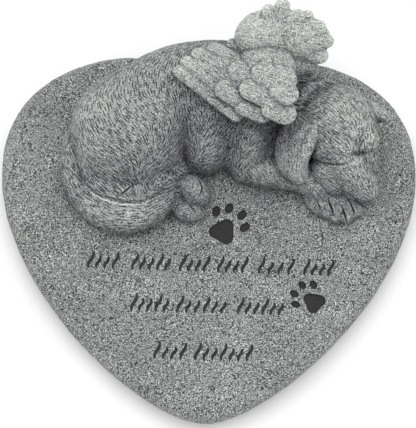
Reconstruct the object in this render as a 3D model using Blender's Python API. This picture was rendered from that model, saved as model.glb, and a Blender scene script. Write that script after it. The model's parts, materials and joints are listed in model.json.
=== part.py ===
"""Pet memorial stone: a heart-shaped slab with a curled, sleeping puppy that has two feathered wings.

The stone is one casting. Its slab is built from its own sizes. The puppy is a free form: it is
modelled in its own units, FIGURE_UNITS of them from rump to muzzle, and then scaled as a whole to
FIGURE_LENGTH and set on the slab. +X is to the right, +Y away from the reader of the inscription
and +Z up. The origin is under the middle of the object, on the surface that it stands on.
"""

import math

import bmesh
import bpy
from mathutils import Euler, Matrix, Vector
from mathutils.geometry import interpolate_bezier

# Slab, in metres
STONE_WIDTH = 0.200
STONE_DEPTH = 0.185
STONE_THICKNESS = 0.018
NOTCH_DEPTH = 0.011
TOP_EDGE_ROUND = 0.0065
BASE_INSET = 0.0040
TOP_SWELL = 0.0007

# Puppy, in metres
FIGURE_LENGTH = 0.155
FIGURE_SUNK = 0.003

# Inscription rows and paw prints, in metres
ROW_PLACES = (-0.0180, -0.0384, -0.0614)
STROKE_HEIGHT = 0.0056
STROKE_WIDTH = 0.0012
STROKE_PITCH = 0.0036
STROKE_DEPTH = 0.0006
STROKE_TALLER = 1.5
LARGE_PRINT = 0.0165
SMALL_PRINT = 0.0136
LARGE_PRINT_PLACE = (0.0072, -0.0007)
SMALL_PRINT_PLACE = (0.0504, -0.0353)
LARGE_PRINT_LEAN = math.radians(-30)
SMALL_PRINT_LEAN = math.radians(50)
PRINT_DEPTH = 0.0008

# Words of each row as (start, end), in shares of half the slab's width
ROW_WORDS = (
    ((-0.570, -0.415), (-0.362, -0.165), (-0.136, 0.014), (0.043, 0.193), (0.231, 0.415), (0.448, 0.598)),
    ((-0.360, -0.169), (-0.145, 0.102), (0.139, 0.368)),
    ((-0.246, -0.084), (-0.056, 0.221)),
)
ROW_SLOPE = math.radians(-1.0)
STROKE_SLANT = 0.30

# Paw print, in shares of its size: toe places and outward lean in degrees, and the lobed pad
TOES = ((-0.476, 0.43, 20), (-0.212, 0.71, 7), (0.212, 0.71, -7), (0.476, 0.43, -20))
TOE_HALF_WIDTH = 0.125
TOE_HALF_LENGTH = 0.165
PAD_REACH = 0.355
PAD_LOBES = 0.055

# Outline of the heart, in shares of half the slab's width and half its depth
WAIST = 0.362
TIP_REACH = 0.284
SIDE_REACH = 0.665
SHOULDER_REACH = 0.586
LOBE_PLACE = 0.41
LOBE_REACH = 0.054
NOTCH_REACH = 0.20

# Fineness of the meshes
OUTLINE_STEPS = 12
EDGE_STEPS = 3
SIDE_RINGS = (0.25, 0.60)
TOP_RINGS = (0.80, 0.45)
SHARP_ANGLE = math.radians(50)
TOE_SIDES = 10
PAD_SIDES = 18
BALL_DETAIL = 3
FIGURE_UNITS = 155.0
VOXEL = 0.9
BODY_VOXEL = 1.6
BODY_PASSES = 14
FIGURE_TRIANGLES = 6500

STONE_GREY = (0.27, 0.28, 0.285, 1.0)
STONE_ROUGHNESS = 0.85


def heart_outline():
    """Points round the heart, counter-clockwise from its tip, at the slab's full size."""
    half_width = STONE_WIDTH / 2
    half_depth = STONE_DEPTH / 2
    tip = Vector((0, -half_depth, 0))
    waist = Vector((half_width, WAIST * half_depth, 0))
    lobe = Vector((LOBE_PLACE * half_width, half_depth, 0))
    notch = Vector((0, half_depth - NOTCH_DEPTH, 0))
    across = Vector((half_width, 0, 0))
    along = Vector((0, half_depth, 0))
    spans = (
        (tip, tip + TIP_REACH * across, waist - SIDE_REACH * along, waist),
        (waist, waist + SHOULDER_REACH * along, lobe + LOBE_REACH * across, lobe),
        (lobe, lobe - NOTCH_REACH * across, notch + NOTCH_REACH * across / 2, notch),
    )
    right = []
    for span in spans:
        right += interpolate_bezier(*span, OUTLINE_STEPS)[:-1]
    left = [Vector((-p.x, p.y, 0)) for p in reversed(right[1:])]
    return right + [notch] + left


def inset(outline, distance):
    """The outline moved inwards by a distance."""
    moved = []
    for i, point in enumerate(outline):
        chord = outline[(i + 1) % len(outline)] - outline[i - 1]
        inward = Vector((-chord.y, chord.x, 0)).normalized()
        moved.append(point + inward * distance)
    return moved


def swell(x, y):
    """Soft unevenness of the slab's top, like a weathered stone's."""
    u = 2 * x / STONE_WIDTH
    v = 2 * y / STONE_DEPTH
    return TOP_SWELL * (math.sin(3.1 * u + 1.3 * v + 0.6) + 0.6 * math.sin(4.3 * v - 2.2 * u))


def top_height(x, y):
    """Height of the slab's top away from its rounded edge."""
    return STONE_THICKNESS + swell(x, y)


def slab_rings(outline):
    """Closed rings of points from the flat underside, up the rounded side and over the top."""
    rings = [inset(outline, BASE_INSET)]
    side_height = STONE_THICKNESS - TOP_EDGE_ROUND
    for share in SIDE_RINGS:
        ring = inset(outline, BASE_INSET * (1 - share) ** 2)
        rings.append([Vector((p.x, p.y, side_height * share)) for p in ring])
    for step in range(EDGE_STEPS + 1):
        angle = math.radians(90 * step / EDGE_STEPS)
        ring = inset(outline, TOP_EDGE_ROUND * (1 - math.cos(angle)))
        drop = TOP_EDGE_ROUND * (1 - math.sin(angle))
        rings.append([Vector((p.x, p.y, top_height(p.x, p.y) - drop)) for p in ring])
    rim = inset(outline, TOP_EDGE_ROUND)
    for share in TOP_RINGS:
        ring = [p * share for p in rim]
        rings.append([Vector((p.x, p.y, top_height(p.x, p.y))) for p in ring])
    return rings


def slab_mesh():
    """The slab as one closed skin of quads, with a flat underside."""
    bm = bmesh.new()
    rings = [[bm.verts.new(p) for p in ring] for ring in slab_rings(heart_outline())]
    count = len(rings[0])
    bm.faces.new(list(reversed(rings[0])))
    for lower, upper in zip(rings, rings[1:]):
        for i in range(count):
            j = (i + 1) % count
            bm.faces.new((lower[i], lower[j], upper[j], upper[i]))
    crown = bm.verts.new((0, 0, top_height(0, 0)))
    for i in range(count):
        bm.faces.new((rings[-1][i], rings[-1][(i + 1) % count], crown))
    mesh = bpy.data.meshes.new("slab")
    bm.to_mesh(mesh)
    bm.free()
    mesh.shade_smooth()
    mesh.set_sharp_from_angle(angle=SHARP_ANGLE)
    return mesh


def ball(bm, centre, radii, turn=(0, 0, 0)):
    """An ellipsoid with its half-lengths along X, Y and Z, turned by degrees about them."""
    rotation = Euler([math.radians(a) for a in turn]).to_matrix().to_4x4()
    place = Matrix.Translation(centre) @ rotation @ Matrix.Diagonal((*radii, 1))
    bmesh.ops.create_icosphere(bm, subdivisions=BALL_DETAIL, radius=1, matrix=place)


def smooth_line(stations, spacing):
    """Points on a smooth line through the stations, each a tuple of any numbers."""
    knots = [Vector(s) for s in stations]
    ends = [2 * knots[0] - knots[1]] + knots + [2 * knots[-1] - knots[-2]]
    line = []
    for a, b, c, d in zip(ends, ends[1:], ends[2:], ends[3:]):
        steps = max(1, math.ceil((c.xyz - b.xyz).length / spacing))
        for i in range(steps):
            t = i / steps
            line.append(0.5 * (2 * b + (c - a) * t + (2 * a - 5 * b + 4 * c - d) * t * t
                               + (3 * b - a - 3 * c + d) * t * t * t))
    return line + [knots[-1]]


def limb(bm, stations, flatness=1.0):
    """A ball swept along a smooth line of (x, y, z, radius), flattened in height."""
    thinnest = min(s[3] for s in stations)
    for x, y, z, radius in smooth_line(stations, thinnest / 2):
        ball(bm, (x, y, z), (radius, radius, radius * flatness))


def blade(bm, root, tip, width, thickness, outward, taper=0.8):
    """A flat, round-ended leaf from root to tip, such as a feather, that faces outward."""
    root = Vector(root)
    tip = Vector(tip)
    axis = (tip - root).normalized()
    side = Vector(outward).cross(axis).normalized()
    facing = axis.cross(side)
    frame = Matrix((axis, side, facing)).transposed().to_4x4()
    steps = max(3, math.ceil((tip - root).length / (width / 5)))
    for i in range(steps + 1):
        t = i / steps
        half = width / 2 * (1 - (1 - taper) * t)
        centre = root.lerp(tip - axis * half, t)
        place = Matrix.Translation(centre) @ frame @ Matrix.Diagonal((half, half, thickness / 2, 1))
        bmesh.ops.create_icosphere(bm, subdivisions=BALL_DETAIL, radius=1, matrix=place)


def merged(name, meshes, voxel, passes):
    """One skin round overlapping meshes, with its creases softened."""
    bm = bmesh.new()
    for mesh in meshes:
        bm.from_mesh(mesh)
    mesh = bpy.data.meshes.new(name)
    bm.to_mesh(mesh)
    bm.free()
    guide = bpy.data.objects.new(name, mesh)
    bpy.context.scene.collection.objects.link(guide)
    skin = guide.modifiers.new("skin", "REMESH")
    skin.mode = "VOXEL"
    skin.voxel_size = voxel
    soften = guide.modifiers.new("soften", "SMOOTH")
    soften.factor = 0.5
    soften.iterations = passes
    return taken(guide)


def taken(guide):
    """The mesh of a guide object with its modifiers applied. The guide is removed."""
    depsgraph = bpy.context.evaluated_depsgraph_get()
    mesh = bpy.data.meshes.new_from_object(guide.evaluated_get(depsgraph))
    bpy.data.objects.remove(guide)
    return mesh


def group(build):
    """The mesh that a building function fills."""
    bm = bmesh.new()
    build(bm)
    mesh = bpy.data.meshes.new(build.__name__)
    bm.to_mesh(mesh)
    bm.free()
    return mesh


def spine(bm):
    """The back, from the rump to the withers."""
    limb(bm, ((-32, 58, 14, 21.5), (-15, 65, 16.5, 22.5), (4, 67.5, 17, 22.5), (20, 66, 16, 20),
              (32, 63, 15, 15)))


def hindquarters(bm):
    """Haunch, loin and thigh, with the back that they grow out of."""
    spine(bm)
    ball(bm, (-38, 45, 11), (29, 31, 26))
    ball(bm, (-25, 53, 13), (19, 24, 24.5))
    ball(bm, (-47, 31, 8), (18, 15.5, 16), (0, 0, 15))
    ball(bm, (-43, 19, 5), (12, 9, 9))
    ball(bm, (-13, 25, 7), (9, 8, 9))


def trunk(bm):
    """Belly, shoulder and neck, with the back that they hang from."""
    spine(bm)
    limb(bm, ((-1, 62, 15, 21), (-0.5, 54, 13.5, 19.5)))
    ball(bm, (-1, 43, 10.5), (13, 18, 17.5))
    ball(bm, (8.5, 50, 11), (9, 15, 18.5))
    ball(bm, (19.5, 45, 11), (10.8, 19.5, 20.5), (0, 0, -6))
    ball(bm, (18, 35, 7), (11.5, 11.5, 15), (0, 0, -10))
    ball(bm, (-12, 31, 2), (11, 10, 8))
    limb(bm, ((28, 61, 16, 16), (42, 62, 15, 14.5), (56, 58, 14, 14)))


def hind_legs_and_tail(bm):
    """Both hind feet, one on the other, and the tail curled round the rump and under them."""
    limb(bm, ((-46, 24, 9, 8), (-32, 20, 9, 8.5), (-17, 20, 9, 7)))
    limb(bm, ((-17, 20, 8.5, 6.5), (-8, 18.5, 7, 5.2)))
    ball(bm, (-4.8, 17, 7.5), (8, 7, 7.2), (0, 0, -12))
    limb(bm, ((-24, 11.5, 4, 5), (-14, 11, 4, 5)))
    ball(bm, (-9.8, 9, 3), (9, 6, 5.8), (0, 0, -12))
    limb(bm, ((-62, 40, 9, 8), (-64, 29, 7.5, 7), (-61.5, 18, 7, 7), (-53, 8, 7, 8), (-41, 3.5, 7.5, 8.6),
              (-28, 6.5, 8, 8), (-20.5, 13, 8.5, 5.4)))


def foreleg(bm):
    """The near foreleg stretched forwards under the chin, its broad paw with four close toes."""
    limb(bm, ((18, 31.5, 7, 9.5), (28, 28, 8, 8.5), (42, 26, 8, 8), (52, 22, 7, 8)))
    ball(bm, (59, 15, 3.5), (14, 9.5, 6.6), (0, 0, -10))
    toes = (
        ((51, 14.5), (54.5, 11), 4.4),
        ((56, 14), (60.5, 8), 4.5),
        ((62, 14), (65.5, 8), 4.2),
        ((66, 15), (69.8, 10.5), 3.8),
    )
    for heel, end, radius in toes:
        limb(bm, ((*heel, 4.5, radius), (*end, 3.2, radius)), 0.9)
    limb(bm, ((62, 38, 6, 8), (74, 27, 5, 7)))


def head(bm):
    """Skull, brows, broad blunt muzzle, cheeks and nose, the chin on the foreleg."""
    ball(bm, (59.5, 49, 15), (20.5, 20.5, 18))
    ball(bm, (59.5, 37, 18.5), (13, 11, 10.8))
    ball(bm, (73, 39.5, 17.5), (7.8, 8.5, 9))
    ball(bm, (73, 33, 11), (8, 10, 10))
    ball(bm, (57, 27, 11), (10, 8.5, 10.5))
    limb(bm, ((63, 32, 14, 11.5), (66, 26, 12.5, 10.5), (70, 21, 11, 9), (73.5, 18.5, 10.5, 7.5)))
    limb(bm, ((69, 27, 16.5, 4.8), (72.5, 20.5, 13.2, 5), (75.5, 16.5, 11.8, 4.2)))
    ball(bm, (59.5, 22, 9), (9.5, 7, 9), (0, 0, -8))
    ball(bm, (76.3, 14.6, 11.5), (4.2, 3.4, 3.6), (0, 0, 15))


def ears(bm):
    """The near ear falls forwards over the cheek, its edge curled; the far one is folded back."""
    outward = (-0.45, -0.3, 0.8)
    for x, y, z, half in smooth_line(((42, 43, 23.5, 8.5), (39.5, 36, 22.8, 9), (39, 29, 19.5, 8),
                                      (42, 24, 15, 5.5)), 2):
        ball(bm, (x, y, z), (half, half, 4.5), (10, -20, 0))
    limb(bm, ((50, 44.5, 27, 3.6), (47.8, 37, 26.5, 3.4), (44.8, 30.5, 24, 3.3), (43.6, 25.5, 19.5, 2.8),
              (44.8, 21.5, 14.5, 2.2)))
    limb(bm, ((45.5, 42, 27, 3.2), (40.8, 37, 26, 2.8), (37.2, 32.5, 23, 2.2), (35.5, 28.5, 19.5, 1.6)))
    limb(bm, ((70, 56, 19, 5.2), (78, 54.8, 19, 4.4), (84, 53, 16.5, 3)))


def neck_folds(bm):
    """Two low rolls of loose skin between the skull and the far wing."""
    limb(bm, ((41, 66.5, 28, 2.8), (48, 68, 27.3, 2.6), (55, 67, 24.8, 2.2)))
    limb(bm, ((42.5, 56.5, 26.8, 2.6), (46, 61.5, 28.8, 2.6), (52, 65, 26.8, 2.2)))


NEAR_FEATHERS = (
    ((-17, 64.8, 42), (12, 45.8, 37), 5.5),
    ((-14, 68.8, 43), (13, 49.8, 41), 6.5),
    ((-9, 72.8, 43), (15, 55.8, 43), 7.5),
    ((-2, 75.8, 42.5), (18, 63.8, 44), 7.0),
    ((7, 78.8, 41), (22, 71.8, 42), 6.5),
    ((2, 54.8, 44.5), (16, 48.8, 41), 9.0),
    ((8.5, 63.8, 47), (22, 55.8, 45), 9.5),
    ((11.5, 46, 41.5), (24, 43, 40), 7.5),
    ((13.5, 54, 46.5), (29, 48, 45), 9.5),
    ((23.5, 44.3, 44), (34.5, 42.3, 42.5), 9.0),
    ((19, 61.5, 49), (33, 56, 48.5), 11.0),
    ((27, 52, 48.5), (35.5, 49.5, 47.5), 8.5),
)


def near_wing(bm):
    """Folded over the back: a thick core and smooth shoulder, with rows of overlapping feathers."""
    outward = Vector((0, -0.2, 1))
    core = ((28, 54, 40, 12), (18, 57, 40, 14), (4, 61.5, 38.5, 12.5), (-7, 66.5, 38, 7))
    for x, y, z, half in smooth_line(core, 3):
        ball(bm, (x, y, z), (half / 2, half, 6.8), (12, 0, 20))
    ball(bm, (31, 54, 40.5), (7.5, 13.5, 8.8), (8, 0, 12))
    ball(bm, (26, 66, 43), (14, 11, 8), (6, -4, -14))
    for tip, root, width in NEAR_FEATHERS:
        blade(bm, root, tip, width * 1.25, 4.6, outward, 0.85)


FAR_FEATHERS = (
    ((25.5, 90, 59), (28, 82, 50), 8.5),
    ((33, 92.5, 60), (31, 82, 50), 9.5),
    ((43.5, 86.5, 55.5), (31, 85, 53), 9.0),
    ((47, 88, 55), (37, 84, 51), 6.5),
    ((53.5, 81.5, 50.5), (40, 84, 52), 10.0),
    ((43, 79.5, 50.5), (29, 83, 52), 11.5),
    ((57, 77, 46), (44, 80, 48), 9.0),
    ((35.5, 77.5, 49), (24, 82, 50), 10.5),
    ((50, 75, 46), (37, 79, 49), 11.0),
    ((42, 73, 45), (28, 77, 46), 10.5),
    ((54.5, 71, 41.5), (41, 76, 44), 10.0),
    ((33, 74, 42.5), (22, 78, 45), 10.0),
)


def far_wing(bm):
    """Spread up and away behind the neck: a smooth domed leading edge and overlapping feathers."""
    outward = Vector((0.1, -0.62, 0.78))
    ball(bm, (35, 81, 45), (21, 12.5, 7.6), (40, 0, -6))
    ball(bm, (25.5, 80.5, 45.5), (15, 12.5, 8.8), (38, 0, 8))
    limb(bm, ((30, 70, 29, 9), (36, 75, 34, 10), (44, 74, 34, 7)))
    for tip, root, width in FAR_FEATHERS:
        blade(bm, root, tip, width, 4, outward, 0.8)


def keep_outer_skin(bm):
    """Removes the skins of pockets inside the form: all but the piece with the most faces."""
    waiting = set(bm.faces)
    pieces = []
    while waiting:
        front = [waiting.pop()]
        piece = list(front)
        while front:
            face = front.pop()
            for edge in face.edges:
                for other in edge.link_faces:
                    if other in waiting:
                        waiting.discard(other)
                        front.append(other)
                        piece.append(other)
        pieces.append(piece)
    pieces.sort(key=len)
    for piece in pieces[:-1]:
        bmesh.ops.delete(bm, geom=piece, context="FACES")


def figure_mesh():
    """The whole puppy as one skin, at its real size, its underside cut flat just below the slab's top."""
    parts = (
        merged("hindquarters", [group(hindquarters)], BODY_VOXEL, BODY_PASSES),
        merged("trunk", [group(trunk)], BODY_VOXEL, BODY_PASSES),
        merged("legs", [group(hind_legs_and_tail), group(foreleg)], VOXEL, 3),
        merged("head", [group(head)], VOXEL, 5),
        merged("trim", [group(ears), group(neck_folds)], VOXEL, 1),
        merged("wings", [group(near_wing), group(far_wing)], VOXEL, 1),
    )
    scale = FIGURE_LENGTH / FIGURE_UNITS
    mesh = merged("figure", parts, VOXEL, 2)
    mesh.transform(Matrix.Translation((0, 0, STONE_THICKNESS)) @ Matrix.Scale(scale, 4))
    bm = bmesh.new()
    bm.from_mesh(mesh)
    bmesh.ops.bisect_plane(
        bm, geom=bm.verts[:] + bm.edges[:] + bm.faces[:], dist=1e-7,
        plane_co=(0, 0, STONE_THICKNESS - FIGURE_SUNK), plane_no=(0, 0, 1), clear_inner=True)
    keep_outer_skin(bm)
    rim = [e for e in bm.edges if e.is_boundary]
    bmesh.ops.holes_fill(bm, edges=rim)
    bmesh.ops.triangulate(bm, faces=bm.faces[:])
    bm.to_mesh(mesh)
    bm.free()
    guide = bpy.data.objects.new("figure", mesh)
    bpy.context.scene.collection.objects.link(guide)
    fewer = guide.modifiers.new("fewer", "DECIMATE")
    fewer.ratio = FIGURE_TRIANGLES / len(mesh.polygons)
    mesh = taken(guide)
    mesh.shade_smooth()
    return mesh


def prism(bm, corners, depth):
    """A cutter with an upright side, its floor the given depth below the slab's top."""
    above = STONE_THICKNESS + 4 * TOP_SWELL + depth
    floor = [bm.verts.new((p.x, p.y, top_height(p.x, p.y) - depth)) for p in corners]
    lid = [bm.verts.new((p.x, p.y, above)) for p in corners]
    bm.faces.new(list(reversed(floor)))
    bm.faces.new(lid)
    for i in range(len(corners)):
        j = (i + 1) % len(corners)
        bm.faces.new((floor[i], floor[j], lid[j], lid[i]))


def strokes(bm):
    """Three rows of short slanting strokes in place of the writing."""
    for place, words in zip(ROW_PLACES, ROW_WORDS):
        turn = Matrix.Rotation(ROW_SLOPE, 4, "Z")
        for start, end in words:
            length = (end - start) * STONE_WIDTH / 2
            count = max(2, round(length / STROKE_PITCH))
            for i in range(count):
                x = start * STONE_WIDTH / 2 + length * (i + 0.5) / count
                tall = STROKE_HEIGHT * (STROKE_TALLER if i % 3 == 0 else 1.0)
                foot = Vector((x - STROKE_SLANT * STROKE_HEIGHT / 2, -STROKE_HEIGHT / 2, 0))
                head_end = foot + Vector((STROKE_SLANT * tall, tall, 0))
                half = Vector((STROKE_WIDTH / 2, 0, 0))
                corners = (foot - half, foot + half, head_end + half, head_end - half)
                prism(bm, [turn @ p + Vector((0, place, 0)) for p in corners], STROKE_DEPTH)


def paw_print(bm, place, size, lean):
    """Four oval toes round a pad with one lobe before and two behind."""
    centre = Vector((*place, 0))
    turn = Matrix.Rotation(lean, 4, "Z")
    for x, y, tilt in TOES:
        own_turn = Matrix.Rotation(math.radians(tilt), 4, "Z")
        toe = []
        for i in range(TOE_SIDES):
            angle = 2 * math.pi * i / TOE_SIDES
            point = Vector((TOE_HALF_WIDTH * math.cos(angle), TOE_HALF_LENGTH * math.sin(angle), 0))
            toe.append(centre + turn @ (Vector((x, y, 0)) + own_turn @ point) * size)
        prism(bm, toe, PRINT_DEPTH)
    pad = []
    for i in range(PAD_SIDES):
        angle = 2 * math.pi * i / PAD_SIDES
        reach = PAD_REACH + PAD_LOBES * math.cos(3 * (angle - math.pi / 2))
        pad.append(centre + turn @ Vector((reach * math.cos(angle), reach * math.sin(angle), 0)) * size)
    prism(bm, pad, PRINT_DEPTH)


def prints(bm):
    """The large print under the hind feet and the small one to the right of the second row."""
    paw_print(bm, LARGE_PRINT_PLACE, LARGE_PRINT, LARGE_PRINT_LEAN)
    paw_print(bm, SMALL_PRINT_PLACE, SMALL_PRINT, SMALL_PRINT_LEAN)


def add_object(name, mesh):
    """A new object in the scene."""
    obj = bpy.data.objects.new(name, mesh)
    bpy.context.scene.collection.objects.link(obj)
    return obj


def add_tool(obj, tool, operation):
    """A Boolean with a hidden tool object."""
    tool.hide_render = True
    tool.display_type = "WIRE"
    cut = obj.modifiers.new(tool.name, "BOOLEAN")
    cut.operation = operation
    cut.solver = "EXACT"
    cut.object = tool


def stone_material():
    """Grey cast stone."""
    material = bpy.data.materials.new("cast_stone")
    material.use_nodes = True
    shader = material.node_tree.nodes["Principled BSDF"]
    shader.inputs["Base Color"].default_value = STONE_GREY
    shader.inputs["Roughness"].default_value = STONE_ROUGHNESS
    shader.inputs["Metallic"].default_value = 0.0
    return material


def main():
    for old in list(bpy.data.objects):
        bpy.data.objects.remove(old)
    stone = add_object("memorial_stone", slab_mesh())
    stone.data.materials.append(stone_material())
    add_tool(stone, add_object("figure", figure_mesh()), "UNION")
    add_tool(stone, add_object("strokes", group(strokes)), "DIFFERENCE")
    add_tool(stone, add_object("prints", group(prints)), "DIFFERENCE")


main()
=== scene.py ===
"""The looks of the pet memorial stone: a heart-shaped slab with a curled, sleeping, winged puppy.

The slab and the puppy are the CAD solid's forms made finer. The slab gets its sunk strokes and paw
prints with painted floors and a weathered top. The puppy gets the strokes of its fur, the barbs of
its feathers and the lines of its eye and toes, all carved in the mesh. The puppy is modelled in its
own units, FIGURE_UNITS of them from rump to muzzle, with z above the slab's top.
"""

import json
import math
import random

import bmesh
import bpy
import numpy as np
from mathutils import Euler, Matrix, Vector, noise
from mathutils.bvhtree import BVHTree
from mathutils.geometry import delaunay_2d_cdt, interpolate_bezier
from mathutils.kdtree import KDTree

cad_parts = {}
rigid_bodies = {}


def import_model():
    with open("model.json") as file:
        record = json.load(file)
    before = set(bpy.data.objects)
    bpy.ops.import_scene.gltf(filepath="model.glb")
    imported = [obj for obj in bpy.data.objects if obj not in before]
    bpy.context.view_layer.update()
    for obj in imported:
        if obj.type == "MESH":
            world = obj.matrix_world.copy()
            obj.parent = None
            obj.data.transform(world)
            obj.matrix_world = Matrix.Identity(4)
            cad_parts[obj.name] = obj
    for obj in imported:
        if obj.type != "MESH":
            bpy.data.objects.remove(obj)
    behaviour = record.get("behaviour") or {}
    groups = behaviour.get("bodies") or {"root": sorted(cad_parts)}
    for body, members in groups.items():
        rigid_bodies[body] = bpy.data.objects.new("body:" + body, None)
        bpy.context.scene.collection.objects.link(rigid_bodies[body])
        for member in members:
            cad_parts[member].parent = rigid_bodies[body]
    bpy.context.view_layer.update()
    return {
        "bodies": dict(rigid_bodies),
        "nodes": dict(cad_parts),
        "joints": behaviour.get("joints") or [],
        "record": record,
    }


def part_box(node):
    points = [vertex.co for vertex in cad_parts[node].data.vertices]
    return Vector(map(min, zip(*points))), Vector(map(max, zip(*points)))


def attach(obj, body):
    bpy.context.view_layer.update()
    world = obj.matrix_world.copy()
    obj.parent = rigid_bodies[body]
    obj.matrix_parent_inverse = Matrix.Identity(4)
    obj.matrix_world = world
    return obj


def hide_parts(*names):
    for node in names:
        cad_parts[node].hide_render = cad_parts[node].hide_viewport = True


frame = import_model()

NODE = "memorial_stone"
BODY = "root"

# Slab, in metres: its outer size is the CAD solid's
NODE_LOW, NODE_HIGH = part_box(NODE)
STONE_WIDTH = NODE_HIGH[0] - NODE_LOW[0]
STONE_DEPTH = NODE_HIGH[1] - NODE_LOW[1]
STONE_THICKNESS = 0.018
NOTCH_DEPTH = 0.011
TOP_EDGE_ROUND = 0.0065
BASE_INSET = 0.0040
TOP_SWELL = 0.0007
EDGE_STEPS = 9
SIDE_RINGS = (0.12, 0.30, 0.50, 0.75)
OUTLINE_SPACING = 0.0009
TOP_SPACING = 0.00095
FILL_JITTER = 0.2
FILL_CLEARANCE = 0.45
FILL_SEED = 7
SHARP_FROM = math.radians(50)
GRAIN_DEPTH = 0.00016
GRAIN_SIZE = 0.0016
DENT_DEPTH = 0.00025
DENT_SIZE = 0.009

# Puppy, in metres
FIGURE_LENGTH = 0.155
FIGURE_UNITS = 155.0
FIGURE_FLOOR = -1.6

# Inscription rows and paw prints, in metres
ROW_PLACES = (-0.0180, -0.0384, -0.0614)
STROKE_HEIGHT = 0.0056
STROKE_WIDTH = 0.0017
STROKE_PITCH = 0.0041
STROKE_DEPTH = 0.0006
STROKE_TALLER = 1.4
STROKE_BULGE = 0.0004
STROKE_SIDES = 10
STROKE_ENDS = 0.55
STROKE_BELLY = 0.45
STROKE_CAP = 0.22
WALL_SLOPE = 0.00012
PRINT_DEPTH = 0.0008

# Paw prints as (place, size, lean in degrees)
PRINTS = (
    ((0.0072, -0.0007), 0.0165, -30),
    ((0.0504, -0.0353), 0.0136, 50),
)

# Words of each row as (start, end), in shares of half the slab's width
ROW_WORDS = (
    ((-0.570, -0.415), (-0.362, -0.165), (-0.136, 0.014), (0.043, 0.193), (0.231, 0.415), (0.448, 0.598)),
    ((-0.360, -0.169), (-0.145, 0.102), (0.139, 0.368)),
    ((-0.246, -0.084), (-0.056, 0.221)),
)
ROW_SLOPE = math.radians(-1.0)
STROKE_SLANT = 0.30

# Paw print, in shares of its size: toe places and outward lean in degrees, and the lobed pad
TOES = ((-0.476, 0.43, 20), (-0.212, 0.71, 7), (0.212, 0.71, -7), (0.476, 0.43, -20))
TOE_HALF_WIDTH = 0.125
TOE_HALF_LENGTH = 0.165
PAD_REACH = 0.355
PAD_LOBES = 0.055
TOE_SIDES = 28
PAD_SIDES = 54

# Outline of the heart, in shares of half the slab's width and half its depth
WAIST = 0.362
TIP_REACH = 0.284
SIDE_REACH = 0.665
SHOULDER_REACH = 0.586
LOBE_PLACE = 0.41
LOBE_REACH = 0.054
NOTCH_REACH = 0.20
OUTLINE_STEPS = 120

# Fineness of the puppy's skins, in its own units. Softening is given for skins of COARSE_VOXEL
COARSE_VOXEL = 0.9
BODY_VOXEL = 1.0
LIMB_VOXEL = 0.6
WING_VOXEL = 0.36
SKIN_VOXEL = 0.38
BODY_SOFTNESS = 44
LEG_SOFTNESS = 3
HEAD_SOFTNESS = 5
TRIM_SOFTNESS = 1
SKIN_SOFTNESS = 1.2
WING_SOFTNESS = 0.12
BALL_DETAIL = 3

# The body's skin is divided across its length into these pieces, at these places along X
BODY_PIECES = ("puppy_hindquarters", "puppy_trunk", "puppy_forequarters")
SPLIT_AT = (-20.0, 33.0)

# Fur and feather strokes, in the puppy's units, and how much they and other forms change the tone: painted
# shade in the strokes, cut lines and folds, painted highlight on standing edges and the tail's rim, and
# painted light at chosen places and on the far wing
HAIR_GAP = 0.98
HAIR_LENGTH = (3.4, 6.8)
HAIR_HALF_WIDTH = 0.33
HAIR_DEPTH = 0.34
HAIR_SWAY = 0.16
HAIR_UNEVENNESS = 0.35
HAIR_SHIFT = 0.24
BARB_GAP = 1.05
BARB_LENGTH = (2.5, 7.0)
BARB_HALF_WIDTH = 0.36
BARB_DEPTH = 0.13
BARB_SWAY = 0.22
BARB_UNEVENNESS = 0.6
BARB_SHIFT = 0.3
BARB_REACH = 1.5
STROKE_STEP = 0.8
STROKE_TAPER = 0.35
END_STRENGTH = 0.35
START_CHOICE = 3
RUN_GAP = 0.80
FEWEST_STEPS = 4
FLOOR_MARGIN = 0.5
GROOVE_STEP = 0.7
GROOVE_REACH = 1.5
HAIR_SEED = 3
NEAR_SEED = 11
FAR_SEED = 12
STROKE_TONE = 0.86
BARB_TONE = 0.24
LINE_TONE = 0.36
PAINTED_LIGHT_AMOUNT = 0.11
RIM_HEIGHT = 0.35
RIM_HALF_WIDTH = 0.8
RIM_TONE = 0.16
EDGE_TONE = 0.08
EDGE_PASSES = 14
EDGE_HEIGHT = 0.16
FOLD_TONE = 0.08
FOLD_PASSES = 60
FOLD_HEIGHT = 0.55
FAR_WING_PAINTED_LIGHT = 0.10
SWAY_SIZE = 5.0
LUMP_DEPTH = 0.18
LUMP_SIZE = 3.5
GRIT_DEPTH = 0.09
GRIT_SIZE = 1.1

# Sky shade: painted shade, the colour darkened where little of the sky is seen, standing also for the
# dark paint left in the hollows. Places for it are this far apart, in the puppy's units, and the sky is
# leaned away from the reader
SKY_SHADE_SPACING = 1.8
SKY_SHADE_RAYS = 48
SKY_SHADE_LIFT = 0.8
SKY_SHADE_GRAZING = -0.1
SKY_SHADE_NEIGHBOURS = 5
SKY_SHADE_BLEND = 0.3
SKY_LEAN = math.radians(14)
DEEPEST_SKY_SHADE = 0.36

# Camera: the photograph's viewing angle, at the slab's true size
PHOTO_WIDTH = 416
PHOTO_SCALE = 0.0004745
CAMERA_ELEVATION = math.radians(68)
CAMERA_DISTANCE = 0.935
CAMERA_ROLL = math.radians(1.2)
CAMERA_TARGET = Vector((0, 0.0075, 0.020))
SENSOR_WIDTH = 36

# Light
WORLD_STRENGTH = 0.95
SUN_STRENGTH = 0.95
SUN_BREADTH = math.radians(50)
SUN_LEAN = (math.radians(-7), math.radians(-2), 0)

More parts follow.
